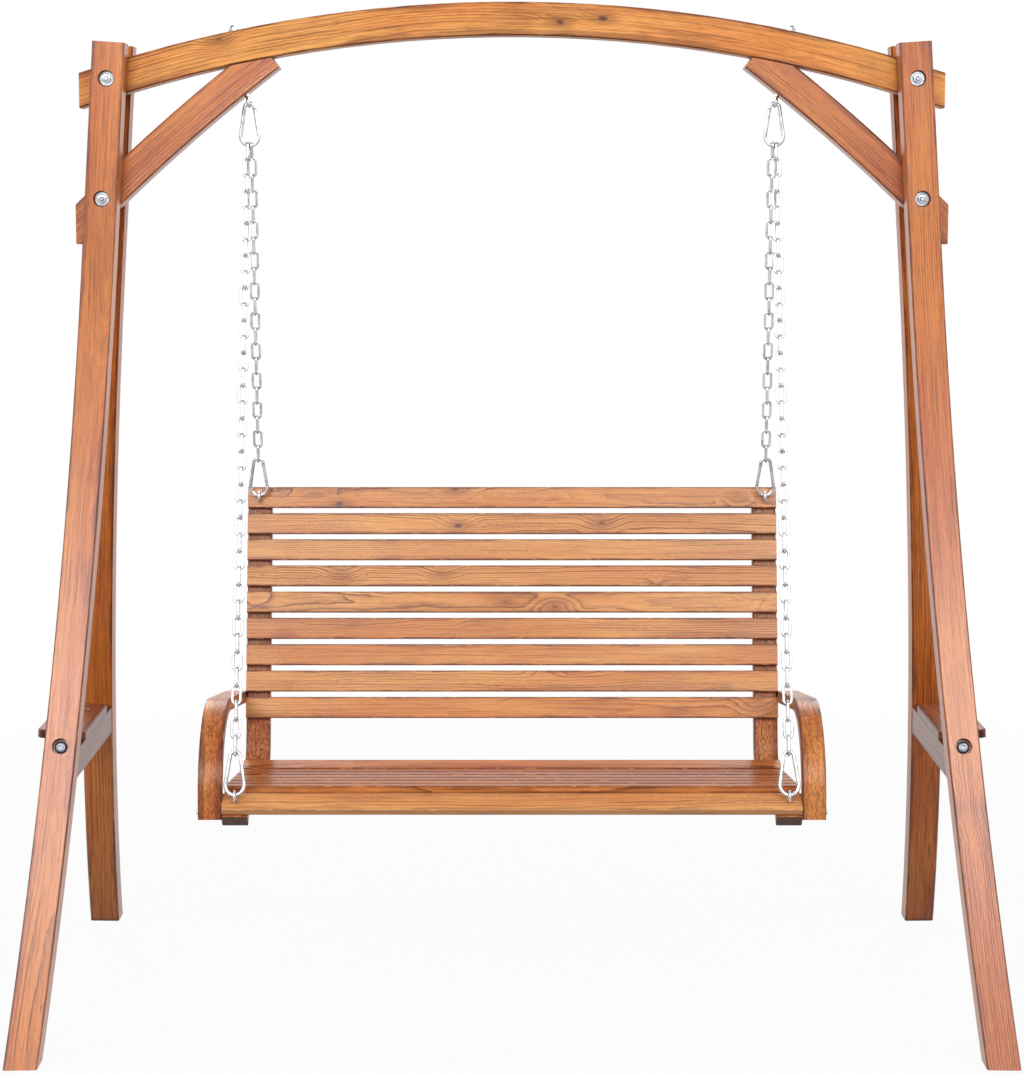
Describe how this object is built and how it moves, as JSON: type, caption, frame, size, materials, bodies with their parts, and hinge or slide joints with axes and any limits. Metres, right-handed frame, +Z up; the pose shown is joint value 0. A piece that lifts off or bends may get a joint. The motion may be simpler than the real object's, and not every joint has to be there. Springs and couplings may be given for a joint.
{
  "type": "swing bench",
  "caption": "Wooden garden swing bench: a slatted seat with bent arms hangs on chains and snap hooks from an arched beam on curved, splayed legs, and swings to and fro.",
  "frame": {"origin": "on the floor, in the middle between the four feet", "axes": "+Z up, +X along the seat to the right as seen from the front, the sitter faces -Y"},
  "size_m": [1.8532, 1.0844, 1.9488],
  "materials": {
    "stand_wood": "honey stain, satin",
    "slat_wood": "honey stain, satin",
    "bent_wood": "red-brown stain, satin",
    "bright_steel": "bright zinc plate",
    "fastener_steel": "zinc plate, slightly dull"
  },
  "bodies": {
    "stand": {"arch_beam": "stand_wood", "board_screws": "fastener_steel", "brace_left": "stand_wood", "brace_right": "stand_wood", "leg_front_left": "stand_wood", "leg_front_right": "stand_wood", "leg_rear_left": "stand_wood", "leg_rear_right": "stand_wood", "spreader_barrel_nuts": "fastener_steel", "spreader_board_left": "stand_wood", "spreader_board_right": "stand_wood", "spreader_bolts": "fastener_steel", "spreader_rail_left": "stand_wood", "spreader_rail_right": "stand_wood", "stand_nuts": "fastener_steel", "stand_washers": "fastener_steel", "top_bolts": "fastener_steel", "top_eye_bolts": "fastener_steel"},
    "bench": {"arm_left": "bent_wood", "arm_right": "bent_wood", "arm_screws": "fastener_steel", "back_slat_1": "slat_wood", "back_slat_2": "slat_wood", "back_slat_3": "slat_wood", "back_slat_4": "slat_wood", "back_slat_5": "slat_wood", "back_slat_6": "slat_wood", "back_slat_7": "slat_wood", "back_slat_8": "slat_wood", "back_slat_9": "slat_wood", "bench_eye_bolts": "fastener_steel", "bench_nuts": "fastener_steel", "bench_washers": "fastener_steel", "bent_frame_left": "bent_wood", "bent_frame_right": "bent_wood", "chain_front_left": "bright_steel", "chain_front_right": "bright_steel", "chain_rear_left": "bright_steel", "chain_rear_right": "bright_steel", "hook_front_left": "bright_steel", "hook_front_right": "bright_steel", "hook_rear_left": "bright_steel", "hook_rear_right": "bright_steel", "hook_top_left": "bright_steel", "hook_top_right": "bright_steel", "seat_slat_1": "slat_wood", "seat_slat_2": "slat_wood", "seat_slat_3": "slat_wood", "seat_slat_4": "slat_wood", "seat_slat_5": "slat_wood", "seat_slat_6": "slat_wood", "seat_slat_7": "slat_wood", "seat_slat_8": "slat_wood", "slat_screws": "fastener_steel"},
    "gate_front_left_bar": {"gate_front_left": "bright_steel"},
    "gate_front_right_bar": {"gate_front_right": "bright_steel"},
    "gate_rear_left_bar": {"gate_rear_left": "bright_steel"},
    "gate_rear_right_bar": {"gate_rear_right": "bright_steel"},
    "gate_top_left_bar": {"gate_top_left": "bright_steel"},
    "gate_top_right_bar": {"gate_top_right": "bright_steel"}
  },
  "joints": [
    {"name": "bench_swing", "type": "hinge", "parent": "stand", "child": "bench", "pos_m": [0, 0, 1.75693], "axis": [1, 0, 0], "range_deg": [-25, 25]},
    {"name": "gate_front_left_pivot", "type": "hinge", "parent": "bench", "child": "gate_front_left_bar", "pos_m": [-0.50788, -0.33059, 0.53244], "axis": [0, 0.9607, -0.2777], "range_deg": [0, 18], "stiffness_Nm_per_rad": 0.02, "springref_deg": -28.65},
    {"name": "gate_front_right_pivot", "type": "hinge", "parent": "bench", "child": "gate_front_right_bar", "pos_m": [0.50788, -0.33059, 0.53244], "axis": [0, -0.9607, 0.2777], "range_deg": [0, 18], "stiffness_Nm_per_rad": 0.02, "springref_deg": -28.65},
    {"name": "gate_rear_left_pivot", "type": "hinge", "parent": "bench", "child": "gate_rear_left_bar", "pos_m": [-0.50699, 0.18122, 1.03567], "axis": [0, 0.9622, 0.2722], "range_deg": [0, 18], "stiffness_Nm_per_rad": 0.02, "springref_deg": -28.65},
    {"name": "gate_rear_right_pivot", "type": "hinge", "parent": "bench", "child": "gate_rear_right_bar", "pos_m": [0.50699, 0.18122, 1.03567], "axis": [0, -0.9622, -0.2722], "range_deg": [0, 18], "stiffness_Nm_per_rad": 0.02, "springref_deg": -28.65},
    {"name": "gate_top_left_pivot", "type": "hinge", "parent": "bench", "child": "gate_top_left_bar", "pos_m": [-0.49871, 0, 1.7429], "axis": [0, 1, 0], "range_deg": [0, 18], "stiffness_Nm_per_rad": 0.02, "springref_deg": -28.65},
    {"name": "gate_top_right_pivot", "type": "hinge", "parent": "bench", "child": "gate_top_right_bar", "pos_m": [0.49871, 0, 1.7429], "axis": [0, -1, 0], "range_deg": [0, 18], "stiffness_Nm_per_rad": 0.02, "springref_deg": -28.65}
  ]
}
